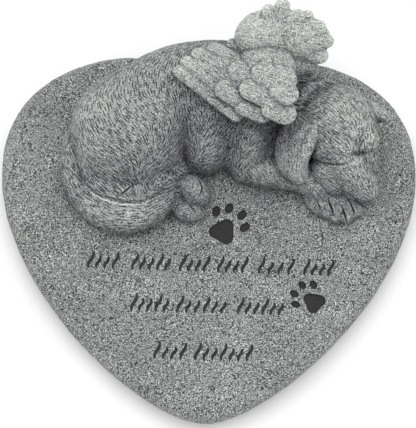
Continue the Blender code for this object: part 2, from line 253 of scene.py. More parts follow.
# Stone's tone, from 0 for black to 1 for white, and how much each thing changes it. The sky share gives
# painted shade where little sky is seen, the height gives painted light on the higher parts together with
# their dry-brushed paint, and the carved forms give painted shade in hollows and painted highlight on edges
SLAB_TONE = {"middle": 0.475, "grain": 2.7, "specks": 0.40, "sky_shade": 0.10, "height_light": 0.0, "relief_shading": 0.0}
CARVED_TONE = {"middle": 0.485, "grain": 1.75, "specks": 0.20, "sky_shade": 0.36, "height_light": 1.6, "relief_shading": 1.0}


def mesh_of(bm, name):
    """The finished mesh of a working one, which is freed."""
    mesh = bpy.data.meshes.new(name)
    bm.to_mesh(mesh)
    bm.free()
    return mesh


def heart_outline():
    """Points round the heart, counter-clockwise from its tip, at the slab's full size."""
    half_width = STONE_WIDTH / 2
    half_depth = STONE_DEPTH / 2
    tip = Vector((0, -half_depth, 0))
    waist = Vector((half_width, WAIST * half_depth, 0))
    lobe = Vector((LOBE_PLACE * half_width, half_depth, 0))
    notch = Vector((0, half_depth - NOTCH_DEPTH, 0))
    across = Vector((half_width, 0, 0))
    along = Vector((0, half_depth, 0))
    spans = (
        (tip, tip + TIP_REACH * across, waist - SIDE_REACH * along, waist),
        (waist, waist + SHOULDER_REACH * along, lobe + LOBE_REACH * across, lobe),
        (lobe, lobe - NOTCH_REACH * across, notch + NOTCH_REACH * across / 2, notch),
    )
    right = []
    for span in spans:
        right += interpolate_bezier(*span, OUTLINE_STEPS)[:-1]
    left = [Vector((-p.x, p.y, 0)) for p in reversed(right[1:])]
    return evenly_spaced(right + [notch] + left, OUTLINE_SPACING)


def evenly_spaced(loop, spacing):
    """A closed loop of points moved along itself so that they are the same distance apart."""
    points = np.array([p[:] for p in loop + loop[:1]])
    run = np.concatenate(([0], np.cumsum(np.linalg.norm(np.diff(points, axis=0), axis=1))))
    stops = np.arange(round(run[-1] / spacing)) * run[-1] / round(run[-1] / spacing)
    return [Vector(p) for p in zip(*(np.interp(stops, run, points[:, k]) for k in range(3)))]


def inset(outline, distance):
    """The outline moved inwards by a distance."""
    moved = []
    for i, point in enumerate(outline):
        chord = outline[(i + 1) % len(outline)] - outline[i - 1]
        inward = Vector((-chord.y, chord.x, 0)).normalized()
        moved.append(point + inward * distance)
    return moved


def top_height(x, y):
    """Height of the slab's top away from its rounded edge, with the soft unevenness of the solid."""
    u = 2 * x / STONE_WIDTH
    v = 2 * y / STONE_DEPTH
    swell = math.sin(3.1 * u + 1.3 * v + 0.6) + 0.6 * math.sin(4.3 * v - 2.2 * u)
    return STONE_THICKNESS + TOP_SWELL * swell


def stroke_outline(foot, lean, bulge):
    """A closed brush-like mark: widest in the middle, round-ended and bent a little to both sides."""
    side = Vector((lean.y, -lean.x, 0)).normalized()
    left = []
    right = []
    for i in range(STROKE_SIDES + 1):
        t = i / STROKE_SIDES
        bend = bulge * math.sin(2 * math.pi * t)
        half = STROKE_WIDTH / 2 * (STROKE_ENDS + STROKE_BELLY * math.sin(math.pi * t))
        centre = foot + lean * t + side * bend
        right.append(centre + side * half)
        left.append(centre - side * half)
    start_cap = foot - lean.normalized() * STROKE_WIDTH * STROKE_CAP
    end_cap = foot + lean + lean.normalized() * STROKE_WIDTH * STROKE_CAP
    return [start_cap] + right + [end_cap] + left[::-1]


def stroke_outlines():
    """Rows of marks that aren't letters, in place of the writing."""
    outlines = []
    turn = Matrix.Rotation(ROW_SLOPE, 4, "Z")
    for place, words in zip(ROW_PLACES, ROW_WORDS):
        for start, end in words:
            length = (end - start) * STONE_WIDTH / 2
            count = max(2, round(length / STROKE_PITCH))
            for i in range(count):
                x = start * STONE_WIDTH / 2 + length * (i + 0.5) / count
                tall = STROKE_HEIGHT * (STROKE_TALLER if i % 3 == 0 else 1.0)
                foot = Vector((x - STROKE_SLANT * STROKE_HEIGHT / 2, -STROKE_HEIGHT / 2, 0))
                lean = Vector((STROKE_SLANT * tall, tall, 0))
                mark = stroke_outline(foot, lean, -STROKE_BULGE)
                outlines.append([turn @ p + Vector((0, place, 0)) for p in mark])
    return outlines


def print_outlines():
    """Both paw prints: four oval toes round a pad with one lobe before and two behind."""
    outlines = []
    for place, size, lean in PRINTS:
        centre = Vector((*place, 0))
        turn = Matrix.Rotation(math.radians(lean), 4, "Z")
        for x, y, tilt in TOES:
            own_turn = Matrix.Rotation(math.radians(tilt), 4, "Z")
            toe = []
            for i in range(TOE_SIDES):
                angle = 2 * math.pi * i / TOE_SIDES
                point = Vector((TOE_HALF_WIDTH * math.cos(angle), TOE_HALF_LENGTH * math.sin(angle), 0))
                toe.append(centre + turn @ (Vector((x, y, 0)) + own_turn @ point) * size)
            outlines.append(toe)
        pad = []
        for i in range(PAD_SIDES):
            angle = 2 * math.pi * i / PAD_SIDES
            reach = PAD_REACH + PAD_LOBES * math.cos(3 * (angle - math.pi / 2))
            pad.append(centre + turn @ Vector((reach * math.cos(angle), reach * math.sin(angle), 0)) * size)
        outlines.append(pad)
    return outlines


def top_sheet(rim, marks):
    """Triangles over the slab's top, with every mark's outline as edges.

    Gives the points, and each triangle's corners with the number of the mark that it is in, or -1.
    """
    points = [p.xy for p in rim]
    faces = [list(range(len(rim)))]
    for mark in marks:
        faces.append(list(range(len(points), len(points) + len(mark))))
        points += [p.xy for p in mark]
    edges = KDTree(len(points))
    for i, point in enumerate(points):
        edges.insert((*point, 0), i)
    edges.balance()
    draw = random.Random(FILL_SEED)
    columns = round(STONE_WIDTH / TOP_SPACING)
    rows = round(STONE_DEPTH / (TOP_SPACING * math.sin(math.radians(60))))
    fill = []
    for j in range(rows):
        for i in range(columns):
            x = (i + (j % 2) / 2 + draw.uniform(-FILL_JITTER, FILL_JITTER)) * TOP_SPACING - STONE_WIDTH / 2
            y = (j + draw.uniform(-FILL_JITTER, FILL_JITTER)) * STONE_DEPTH / rows - STONE_DEPTH / 2
            if edges.find((x, y, 0))[2] > TOP_SPACING * FILL_CLEARANCE:
                fill.append(Vector((x, y)))
    made = delaunay_2d_cdt(points + fill, [], faces, 1, 1e-9, True)
    kept = [(corners, max(found) - 1) for corners, found in zip(made[2], made[5]) if found]
    return made[0], kept


def rough_slab(x, y, z):
    """How far the weathered skin of the slab stands out at a place."""
    place = Vector((x, y, z))
    grain = noise.noise(place / GRAIN_SIZE) + 0.5 * noise.noise(Vector((y, z, x)) / GRAIN_SIZE * 2)
    dents = noise.noise(place / DENT_SIZE)
    return GRAIN_DEPTH * grain + DENT_DEPTH * dents


def slab_piece():
    """The slab: a weathered top with sunk, painted marks, a rounded edge and a flat underside."""
    strokes = stroke_outlines()
    prints = print_outlines()
    outline = heart_outline()
    rim = inset(outline, TOP_EDGE_ROUND)
    places, triangles = top_sheet(rim, strokes + prints)
    bm = bmesh.new()
    top = [bm.verts.new((p.x, p.y, top_height(p.x, p.y))) for p in places]
    floors = {"writing": [], "print": []}
    for corners, mark in triangles:
        face = bm.faces.new([top[i] for i in corners])
        if mark >= 0:
            floors["writing" if mark < len(strokes) else "print"].append(face)
    upper = top[: len(rim)]
    side_height = STONE_THICKNESS - TOP_EDGE_ROUND
    rings = []
    for step in range(EDGE_STEPS - 1, -1, -1):
        angle = math.radians(90 * step / EDGE_STEPS)
        ring = inset(outline, TOP_EDGE_ROUND * (1 - math.cos(angle)))
        drop = TOP_EDGE_ROUND * (1 - math.sin(angle))
        rings.append([Vector((p.x, p.y, top_height(p.x, p.y) - drop)) for p in ring])
    for share in reversed(SIDE_RINGS):
        ring = inset(outline, BASE_INSET * (1 - share) ** 2)
        rings.append([Vector((p.x, p.y, side_height * share)) for p in ring])
    rings.append(inset(outline, BASE_INSET))
    for ring in rings:
        lower = [bm.verts.new(p) for p in ring]
        for i in range(len(lower)):
            j = (i + 1) % len(lower)
            bm.faces.new((lower[i], lower[j], upper[j], upper[i]))
        upper = lower
    underside = bm.faces.new(list(reversed(upper)))
    bmesh.ops.delete(bm, geom=[v for v in top if not v.link_faces], context="VERTS")
    bm.normal_update()
    resting = set(underside.verts)
    for vert in bm.verts:
        if vert not in resting:
            vert.co += vert.normal * rough_slab(*vert.co)
    for index, (kind, depth) in enumerate((("writing", STROKE_DEPTH), ("print", PRINT_DEPTH)), 1):
        before = set(bm.faces)
        bmesh.ops.inset_region(bm, faces=floors[kind], thickness=WALL_SLOPE, use_even_offset=True)
        for face in floors[kind]:
            face.material_index = index
        sunk = {v for face in floors[kind] for v in face.verts}
        for vert in sunk:
            vert.co.z -= depth
        for face in bm.faces:
            if face not in before:
                face.material_index = index
    mesh = mesh_of(bm, "memorial_slab")
    mesh.shade_smooth()
    mesh.set_sharp_from_angle(angle=SHARP_FROM)
    return mesh


def ball(bm, centre, radii, turn=(0, 0, 0)):
    """An ellipsoid with its half-lengths along X, Y and Z, turned by degrees about them."""
    rotation = Euler([math.radians(a) for a in turn]).to_matrix().to_4x4()
    place = Matrix.Translation(centre) @ rotation @ Matrix.Diagonal((*radii, 1))
    bmesh.ops.create_icosphere(bm, subdivisions=BALL_DETAIL, radius=1, matrix=place)


def smooth_line(stations, spacing):
    """Points on a smooth line through the stations, each a tuple of any numbers."""
    knots = [Vector(s) for s in stations]
    ends = [2 * knots[0] - knots[1]] + knots + [2 * knots[-1] - knots[-2]]
    line = []
    for a, b, c, d in zip(ends, ends[1:], ends[2:], ends[3:]):
        steps = max(1, math.ceil((c.xyz - b.xyz).length / spacing))
        for i in range(steps):
            t = i / steps
            line.append(0.5 * (2 * b + (c - a) * t + (2 * a - 5 * b + 4 * c - d) * t * t
                               + (3 * b - a - 3 * c + d) * t * t * t))
    return line + [knots[-1]]


def limb(bm, stations, flatness=1.0):
    """A ball swept along a smooth line of (x, y, z, radius), flattened in height."""
    thinnest = min(s[3] for s in stations)
    for x, y, z, radius in smooth_line(stations, thinnest / 2):
        ball(bm, (x, y, z), (radius, radius, radius * flatness))


def blade(bm, root, tip, width, thickness, outward, taper=0.8):
    """A flat, round-ended leaf from root to tip, such as a feather, that faces outward."""
    root = Vector(root)
    tip = Vector(tip)
    axis = (tip - root).normalized()
    side = Vector(outward).cross(axis).normalized()
    facing = axis.cross(side)
    frame = Matrix((axis, side, facing)).transposed().to_4x4()
    steps = max(3, math.ceil((tip - root).length / (width / 5)))
    for i in range(steps + 1):
        t = i / steps
        half = width / 2 * (1 - (1 - taper) * t)
        centre = root.lerp(tip - axis * half, t)
        place = Matrix.Translation(centre) @ frame @ Matrix.Diagonal((half, half, thickness / 2, 1))
        bmesh.ops.create_icosphere(bm, subdivisions=BALL_DETAIL, radius=1, matrix=place)


def group(build):
    """The mesh that a building function fills."""
    bm = bmesh.new()
    build(bm)
    return mesh_of(bm, build.__name__)


def spine(bm):
    """The back, from the rump to the withers."""
    limb(bm, ((-32, 58, 14, 21.5), (-15, 65, 16.5, 22.5), (4, 67.5, 17, 22.5), (20, 66, 16, 20),
              (32, 63, 15, 15)))


def hindquarters(bm):
    """Haunch, loin and thigh, with the back that they grow out of."""
    spine(bm)
    ball(bm, (-38, 45, 11), (29, 31, 26))
    ball(bm, (-25, 53, 13), (19, 24, 24.5))
    ball(bm, (-47, 31, 8), (18, 15.5, 16), (0, 0, 15))
    ball(bm, (-43, 19, 5), (12, 9, 9))
    ball(bm, (-16.5, 26, 7), (8, 8, 9))


def trunk(bm):
    """Belly, shoulder and neck, with the back that they hang from."""
    spine(bm)
    limb(bm, ((-1, 62, 15, 21), (-0.5, 54, 13.5, 19.5)))
    ball(bm, (-1, 43, 10.5), (13, 18, 17.5))
    ball(bm, (8.5, 50, 11), (9, 15, 18.5))
    ball(bm, (19.5, 45, 11), (10.8, 19.5, 20.5), (0, 0, -6))
    ball(bm, (18, 35, 7), (11.5, 11.5, 15), (0, 0, -10))
    ball(bm, (-12, 31, 2), (11, 10, 8))
    ball(bm, (-13, 50, 12), (7, 14, 17))
    limb(bm, ((30, 48, 15, 5.5), (30, 38, 12.5, 5.5), (28, 30, 8, 5)))
    limb(bm, ((28, 61, 16, 16), (42, 62, 15, 14.5), (56, 58, 14, 14)))


def hind_legs_and_tail(bm):
    """Both hind feet, one on the other, and the tail curled round the rump and under them."""
    limb(bm, ((-48, 27, 9, 10), (-34, 23, 10, 11), (-24.5, 22.5, 9.5, 9), (-20, 20, 8, 7)))
    limb(bm, ((-19, 18, 6, 5.4), (-9, 17.5, 6.5, 5)))
    ball(bm, (-7, 16.9, 8.2), (9.4, 6.4, 7.4), (0, 0, -38))
    limb(bm, ((-59.5, 22, 9, 5.2), (-52, 12.5, 10.8, 5.5), (-42, 9, 11.4, 5.5), (-33, 9.5, 11.8, 5.5),
              (-26, 13, 11, 5)))
    limb(bm, ((-59.5, 32, 10, 5), (-56, 24, 11, 5.5), (-50, 17.5, 12, 6), (-42, 15, 12.2, 6),
              (-33, 15, 12.2, 6), (-25, 17.5, 11.5, 5.5)))
    limb(bm, ((-24, 11.5, 4, 5), (-14, 11, 4, 5)))
    ball(bm, (-9.8, 9, 3), (9, 6, 5.8), (0, 0, -12))
    limb(bm, ((-62, 40, 9, 8), (-64, 29, 7.5, 7), (-61.5, 18, 7, 7), (-53, 8, 7, 8), (-41, 3.5, 7.5, 8.6),
              (-28, 6.5, 8, 8), (-20.5, 13, 8.5, 5.4)))


def foreleg(bm):
    """The near foreleg stretched forwards under the chin, its broad paw with four close toes."""
    limb(bm, ((18, 31.5, 7, 9.5), (28, 28, 8, 8.5), (42, 26, 8, 8), (52, 22, 7, 8)))
    ball(bm, (59, 15, 3.5), (14, 9.5, 6.6), (0, 0, -10))
    toes = (
        ((51, 14.5), (54.5, 11), 4.4),
        ((56, 14), (60.5, 8), 4.5),
        ((62, 14), (65.5, 8), 4.2),
        ((66, 15), (69.8, 10.5), 3.8),
    )
    for heel, end, radius in toes:
        limb(bm, ((*heel, 4.5, radius), (*end, 3.2, radius)), 0.9)
    limb(bm, ((62, 38, 6, 8), (74, 27, 5, 7)))


def head(bm):
    """Skull, brows, broad blunt muzzle, cheeks and nose, the chin on the foreleg."""
    ball(bm, (59.5, 49, 15), (20.5, 20.5, 18))
    ball(bm, (59.5, 37, 18.5), (13, 11, 10.8))
    ball(bm, (73, 39.5, 17.5), (7.8, 8.5, 9))
    ball(bm, (73, 33, 11), (8, 10, 10))
    ball(bm, (57, 27, 11), (10, 8.5, 10.5))
    limb(bm, ((63, 32, 14, 11.5), (66, 26.5, 12.5, 10.5), (70, 22, 11, 9), (73, 19.8, 10.5, 7.5)))
    limb(bm, ((69, 27, 16.5, 4.8), (72.5, 21.3, 13.2, 5), (75.2, 17.8, 11.8, 4.2)))
    ball(bm, (59.5, 22, 9), (9.5, 7, 9), (0, 0, -8))
    ball(bm, (76.2, 15.8, 11.5), (4.2, 3.4, 3.6), (0, 0, 15))


def ears(bm):
    """The near ear falls forwards over the cheek, its edge curled; the far one is folded back."""
    for x, y, z, half in smooth_line(((42, 43, 23.5, 8.5), (39.5, 36, 22.8, 9), (39, 29, 19.5, 8),
                                      (42, 24, 15, 5.5)), 2):
        ball(bm, (x, y, z), (half, half, 4.5), (10, -20, 0))
    limb(bm, ((50, 44.5, 27, 3.6), (47.8, 37, 26.5, 3.4), (44.8, 30.5, 24, 3.3), (43.6, 25.5, 19.5, 2.8),
              (44.8, 21.5, 14.5, 2.2)))
    limb(bm, ((45.5, 42, 27, 3.2), (40.8, 37, 26, 2.8), (37.2, 32.5, 23, 2.2), (35.5, 28.5, 19.5, 1.6)))
    limb(bm, ((70, 56, 19, 5.2), (78, 54.8, 19, 4.4), (84, 53, 16.5, 3)))


def neck_folds(bm):
    """Two low rolls of loose skin between the skull and the far wing."""
    limb(bm, ((41, 66.5, 28, 2.8), (48, 68, 27.3, 2.6), (55, 67, 24.8, 2.2)))
    limb(bm, ((42.5, 56.5, 26.8, 2.6), (46, 61.5, 28.8, 2.6), (52, 65, 26.8, 2.2)))


NEAR_FEATHERS = (
    ((-17, 64.8, 42), (12, 44.2, 37), 6.5), ((-14, 68.8, 43), (13, 49.8, 41), 6.5),
    ((-9, 72.8, 43), (15, 55.8, 43), 7.5), ((-2, 75.8, 42.5), (18, 63.8, 44), 7.0),
    ((7, 78.8, 41), (22, 71.8, 42), 6.5), ((2, 54.8, 44.5), (16, 48.8, 41), 9.0),
    ((8.5, 63.8, 47), (22, 55.8, 45), 9.5), ((11.5, 46, 41.5), (24, 43, 40), 7.5),
    ((13.5, 54, 46.5), (29, 48, 45), 9.5), ((23.5, 44.3, 44), (34.5, 42.3, 42.5), 9.0),
    ((19, 61.5, 49), (33, 56, 48.5), 11.0), ((27, 52, 48.5), (35.5, 49.5, 47.5), 8.5),
)


def near_wing(bm):
    """Folded over the back: a thick core and smooth shoulder, with rows of overlapping feathers."""
    outward = Vector((0, -0.2, 1))
    core = ((28, 54, 40, 12), (18, 57, 40, 14), (4, 61.5, 38.5, 12.5), (-7, 66.5, 38, 7))
    for x, y, z, half in smooth_line(core, 3):
        ball(bm, (x, y, z), (half / 2, half, 6.8), (12, 0, 20))
    ball(bm, (31, 54, 40.5), (7.5, 13.5, 8.8), (8, 0, 12))
    ball(bm, (26, 66, 43), (14, 11, 8), (6, -4, -14))
    for tip, root, width in NEAR_FEATHERS:
        blade(bm, root, tip, width * 1.25, 4.6, outward, 0.85)


FAR_FEATHERS = (
    ((25.5, 90, 59), (28, 82, 50), 8.5), ((33, 92.5, 60), (31, 82, 50), 9.5),
    ((43.5, 86.5, 55.5), (31, 85, 53), 9.0), ((47, 88, 55), (37, 84, 51), 6.5),
    ((53.5, 81.5, 50.5), (40, 84, 52), 10.0), ((43, 79.5, 50.5), (29, 83, 52), 11.5),
    ((57, 77, 46), (44, 80, 48), 9.0), ((35.5, 77.5, 49), (24, 82, 50), 10.5),
    ((50, 75, 46), (37, 79, 49), 11.0), ((42, 73, 45), (28, 77, 46), 10.5),
    ((54.5, 71, 41.5), (41, 76, 44), 10.0), ((33, 74, 42.5), (22, 78, 45), 10.0),
)


def far_wing(bm):
    """Spread up and away behind the neck: a smooth domed leading edge and overlapping feathers."""
    outward = Vector((0.1, -0.62, 0.78))
    ball(bm, (35, 81, 45), (21, 12.5, 7.6), (40, 0, -6))
    ball(bm, (25.5, 80.5, 45.5), (15, 12.5, 8.8), (38, 0, 8))
    limb(bm, ((30, 70, 29, 9), (36, 75, 34, 10), (44, 74, 34, 7)))
    for tip, root, width in FAR_FEATHERS:
        blade(bm, root, tip, width, 4, outward, 0.8)


def placed(name, data):
    """A new object of a mesh, light or camera, in the scene."""
    obj = bpy.data.objects.new(name, data)
    bpy.context.scene.collection.objects.link(obj)
    return obj


def values_of(items, key, each, kind=float):
    """The values of a mesh's items in one array, so many for each item."""
    values = np.empty(len(items) * each, dtype=kind)
    items.foreach_get(key, values)
    return values


def store(mesh, key, values):
    """Keeps a value at every point of a mesh, for its material."""
    mesh.attributes.new(key, "FLOAT", "POINT").data.foreach_set("value", values.astype(np.float32))


def skin_of(name, meshes, voxel, softness):
    """One skin round overlapping meshes. Softness is in passes of a COARSE_VOXEL skin."""
    bm = bmesh.new()
    for mesh in meshes:
        bm.from_mesh(mesh)
    guide = placed(name, mesh_of(bm, name))
    skin = guide.modifiers.new("skin", "REMESH")
    skin.mode = "VOXEL"
    skin.voxel_size = voxel
    soften = guide.modifiers.new("soften", "SMOOTH")
    soften.factor = 0.5
    soften.iterations = max(1, round(softness * (COARSE_VOXEL / voxel) ** 2))
    depsgraph = bpy.context.evaluated_depsgraph_get()
    mesh = bpy.data.meshes.new_from_object(guide.evaluated_get(depsgraph))
    bpy.data.objects.remove(guide)
    return mesh


def body_skin():
    """Everything but the wings: one skin, fine enough to carve."""
    parts = (
        skin_of("hindquarters", [group(hindquarters)], BODY_VOXEL, BODY_SOFTNESS),
        skin_of("trunk", [group(trunk)], BODY_VOXEL, BODY_SOFTNESS),
        skin_of("legs", [group(hind_legs_and_tail), group(foreleg)], LIMB_VOXEL, LEG_SOFTNESS),
        skin_of("head", [group(head)], LIMB_VOXEL, HEAD_SOFTNESS),
        skin_of("trim", [group(ears), group(neck_folds)], LIMB_VOXEL, TRIM_SOFTNESS),
    )
    return skin_of("body", parts, SKIN_VOXEL, SKIN_SOFTNESS)


def keep_outer_skin(bm):
    """Removes the skins of pockets inside the form: all but the piece with the most faces."""
    waiting = set(bm.faces)
    pieces = []
    while waiting:
        front = [waiting.pop()]
        piece = list(front)
        while front:
            face = front.pop()
            for edge in face.edges:
                for other in edge.link_faces:
                    if other in waiting:
                        waiting.discard(other)
                        front.append(other)
                        piece.append(other)
        pieces.append(piece)
    pieces.sort(key=len)
    for piece in pieces[:-1]:
        bmesh.ops.delete(bm, geom=piece, context="FACES")


def unit(vectors):
    """Rows of vectors made 1 long."""
    return vectors / np.maximum(np.linalg.norm(vectors, axis=1, keepdims=True), 1e-12)


class Skin:
    """A triangle mesh as arrays, in the puppy's units, that strokes are carved into."""

    def __init__(self, mesh):
        bm = bmesh.new()
        bm.from_mesh(mesh)
        bmesh.ops.bisect_plane(
            bm, geom=bm.verts[:] + bm.edges[:] + bm.faces[:], dist=1e-5,
            plane_co=(0, 0, FIGURE_FLOOR), plane_no=(0, 0, 1), clear_inner=True)
        keep_outer_skin(bm)
        bmesh.ops.holes_fill(bm, edges=[e for e in bm.edges if e.is_boundary])
        bmesh.ops.triangulate(bm, faces=bm.faces[:])
        flat = mesh_of(bm, "skin")
        self.points = values_of(flat.vertices, "co", 3).reshape(-1, 3)
        self.faces = values_of(flat.loops, "vertex_index", 1, np.int64).reshape(-1, 3)
        self.edges = values_of(flat.edges, "vertices", 2, np.int64).reshape(-1, 2)
        self.relief_shading = np.zeros(len(self.points))
        self.sky = np.ones(len(self.points))
        self.start = self.points.copy()
        self.start_normals = self.normals()

    def normals(self):
        a, b, c = (self.points[self.faces[:, k]] for k in range(3))
        across = np.cross(b - a, c - a)
        total = np.stack([
            sum(np.bincount(self.faces[:, k], across[:, axis], len(self.points)) for k in range(3))
            for axis in range(3)], axis=1)
        return unit(total)

    def smoothed(self, values, passes):
        """Values at the points, each averaged with its neighbours a number of times."""
        one, two = self.edges.T
        degree = np.bincount(one, minlength=len(values)) + np.bincount(two, minlength=len(values))
        for _ in range(passes):
            total = np.bincount(one, values[two], len(values)) + np.bincount(two, values[one], len(values))
            values = 0.5 * values + 0.5 * total / degree
        return values

    def hollowness(self, passes):
        """How far each point stands out from the softened skin, less than zero in a hollow."""
        soft = np.stack([self.smoothed(self.points[:, k], passes) for k in range(3)], axis=1)
        return np.sum((self.points - soft) * self.normals(), axis=1)

    def push(self, distance):
        self.points = self.points + self.start_normals * distance[:, None]


def flow(skin, guides, reach, sway):
    """A direction along the skin at every point, blended from guides of (place, direction).

    It sways to either side by up to about the given angle, in soft waves.
    """
    places = np.array([g[0] for g in guides], dtype=float)
    directions = unit(np.array([g[1] for g in guides], dtype=float))
    total = np.zeros_like(skin.start)
    for place, direction in zip(places, directions):
        gap = np.sum((skin.start - place) ** 2, axis=1)
        total += direction / (gap + reach * reach)[:, None] ** 2
    total -= skin.start_normals * np.sum(total * skin.start_normals, axis=1)[:, None]
    total = unit(total)
    turn = np.array([noise.noise(Vector(p) / SWAY_SIZE) for p in skin.start.tolist()]) * 2 * sway
    return total * np.cos(turn)[:, None] + np.cross(skin.start_normals, total) * np.sin(turn)[:, None]


def combed(skin, directions, gap, lengths, seed):
    """Short strokes along the directions that keep a gap between them, as lists of points."""
    draw = random.Random(seed)
    tree = BVHTree.FromPolygons(skin.start.tolist(), skin.faces.tolist())
    order = list(range(len(skin.start)))
    draw.shuffle(order)
    taken = {}

    def cell_of(p):
        return int(p[0] // gap), int(p[1] // gap), int(p[2] // gap)

    def crowded(p, own, limit):
        cell = cell_of(p)
        for i in range(-1, 2):
            for j in range(-1, 2):
                for k in range(-1, 2):
                    for q, owner in taken.get((cell[0] + i, cell[1] + j, cell[2] + k), ()):
                        if owner != own and (q - p).length_squared < limit * limit:
                            return True
        return False

    strokes = []
    for first in order[: len(order) // START_CHOICE]:
        p = Vector(skin.start[first])
        own = len(strokes)
        if crowded(p, own, gap):
            continue
        length = draw.uniform(*lengths)
        index = first
        line = [p]
        walked = 0.0
        while walked < length:
            heading = Vector(directions[index])
            spot, _, face, _ = tree.find_nearest(p + heading * STROKE_STEP)
            index = int(skin.faces[face][0])
            if crowded(spot, own, gap * RUN_GAP) or spot.z < FIGURE_FLOOR + FLOOR_MARGIN:
                break
            p = spot
            line.append(p)
            walked += STROKE_STEP
        if len(line) < FEWEST_STEPS:
            continue
        strokes.append(line)
        for q in line:
            taken.setdefault(cell_of(q), []).append((q, own))
    return strokes


def groove(skin, strokes, half_width, depth, unevenness=0.0):
    """Depth at every point of grooves along the strokes, shallower towards their ends.

    Unevenness is the share of the depth that is taken off a stroke at the most, by chance.
    """
    draw = random.Random(len(strokes))
    spots = []
    ahead = []
    strength = []
    for line in strokes:
        stations = [p.to_tuple() + (1.0,) for p in line]
        fine = smooth_line(stations, half_width * GROOVE_STEP)
        count = len(fine)
        full = 1 - unevenness * draw.random()
        for i, p in enumerate(fine):
            t = i / max(1, count - 1)
            spots.append(p.xyz)
            ahead.append((fine[min(i + 1, count - 1)] - fine[max(i - 1, 0)]).xyz.normalized())
            rise = min(1.0, t / STROKE_TAPER, (1 - t) / STROKE_TAPER)
            strength.append(full * (END_STRENGTH + (1 - END_STRENGTH) * rise))
    tree = KDTree(len(spots))
    for i, spot in enumerate(spots):
        tree.insert(spot, i)
    tree.balance()
    depths = np.zeros(len(skin.start))
    for i, point in enumerate(skin.start.tolist()):
        _, near, gap = tree.find(point)
        if gap < half_width * GROOVE_REACH:
            offset = Vector(point) - spots[near]
            along = offset.dot(ahead[near])
            off = math.sqrt(max(0.0, gap * gap - along * along))
            if off < half_width:
                depths[i] = depth * (1 - (off / half_width) ** 2) * strength[near]
    return depths


def lumps(skin, seed):
    """Soft unevenness of the casting, with finer grit over it."""
    shift = Vector((seed * 7.3, seed * 3.1, seed * 5.7))
    places = [Vector(p) for p in skin.start.tolist()]
    soft = np.array([noise.noise(p / LUMP_SIZE + shift) for p in places])
    fine = np.array([noise.noise(p / GRIT_SIZE + shift) for p in places])
    return LUMP_DEPTH * soft + GRIT_DEPTH * fine


# Which way the fur runs: (x, y, z, its run along X, its run along Y), in the puppy's units
COMB = (
    (-60, 70, 20, -0.55, -0.8), (-45, 75, 30, -0.45, -0.9), (-25, 72, 36, -0.35, -0.9),
    (-5, 80, 34, -0.4, -0.9), (15, 84, 28, -0.3, -0.9), (-62, 50, 20, -0.1, -1),
    (-50, 58, 32, 0.0, -1), (-38, 60, 37, 0.05, -1), (-26, 60, 37, 0.1, -1),
    (-14, 62, 36, -0.05, -1), (-45, 45, 36, 0.45, -0.9), (-34, 46, 37, 0.75, -0.75),
    (-23, 48, 35, 0.8, -0.6), (-12, 46, 30, 0.35, -0.9), (-10, 36, 24, 0.1, -1),
    (-60, 35, 20, 0.4, -0.9), (-48, 32, 30, 0.7, -0.7), (-38, 30, 31, 0.75, -0.6),
    (-30, 33, 32, 0.6, -0.8), (-22, 34, 31, -0.2, -1), (-18, 27, 24, -0.75, -0.6),
    (-26, 22, 20, -0.85, -0.45), (-50, 20, 18, 0.6, -0.8), (-42, 16, 18, 0.6, -0.8),
    (-33, 16, 18, 0.3, -0.95), (-27, 20, 17, -0.6, -0.75), (-67, 32, 8, 0.15, -1),
    (-62, 17, 10, 0.5, -0.85), (-52, 8, 12, 0.85, -0.45), (-38, 4, 12, 1, 0.05),
    (-26, 8, 13, 0.85, 0.5), (-19, 13, 12, 0.75, 0.6), (-30, 18, 14, 1, 0.05),
    (-12, 19, 14, 0.95, -0.25), (-3, 17, 11, 0.8, -0.6), (-10, 10, 8, 0.9, -0.4),
    (-6, 52, 34, 0.0, -1), (4, 52, 34, 0.15, -1), (12, 50, 34, 0.1, -1), (-4, 38, 27, -0.45, -0.85),
    (5, 36, 27, -0.6, -0.8), (2, 28, 20, -0.7, -0.7), (15, 40, 30, -0.65, -0.75),
    (24, 36, 28, -0.6, -0.8), (18, 30, 22, -0.7, -0.7), (30, 50, 25, -0.2, -0.95),
    (25, 30, 15, 0.7, -0.7), (42, 26, 15, 0.9, -0.45), (50, 20, 13, 0.65, -0.75),
    (56, 11, 9, 0.45, -0.9), (67, 11, 8, 0.5, -0.85), (35, 66, 28, 0.85, 0.5),
    (48, 68, 30, 0.95, 0.1), (46, 60, 30, 0.7, -0.6), (48, 52, 31, 0.95, -0.25),
    (56, 60, 32, 0.9, -0.4), (60, 50, 34, 0.6, -0.8), (70, 56, 28, 0.45, -0.9),
    (77, 48, 24, 0.15, -1), (52, 43, 31, 0.9, -0.4), (60, 40, 32, 0.85, -0.5),
    (60, 32, 28, 0.8, -0.5), (74, 40, 28, -0.1, -1), (68, 33, 27, 0.35, -0.95),
    (56, 25, 20, 0.85, -0.5), (63, 24, 22, 0.75, -0.65), (72, 24, 21, 0.5, -0.85),
    (75, 18, 17, 0.5, -0.85), (46, 38, 30, -0.15, -1), (44, 27, 22, -0.1, -1),
    (38, 34, 26, -0.6, -0.8), (34, 28, 19, -0.25, -0.95), (80, 56, 20, 0.9, -0.3),
)
COMB_REACH = 3.0

# Places where the fur is worn smooth: (x, y, radius)
SMOOTH_PLACES = (
    (57, 11, 12), (68, 9, 9), (46, 20, 9), (34, 24, 7), (24, 28, 5), (41, 30, 8), (44, 38, 6),
    (-6, 16, 8), (-10, 8, 9), (60, 23, 6), (80, 56, 6),
)
SMOOTHING = 0.75

# Painted light: places where the colour is made lighter: (x, y, radius)
PAINTED_LIGHT_PLACES = (
    (60, 50, 16), (70, 40, 9), (68, 27, 8), (30, 26, 9), (45, 22, 9), (46, 37, 4), (44, 30, 4),
    (-50, 3, 9), (-34, 1, 9), (-61, 48, 12), (-57, 31, 8),
)

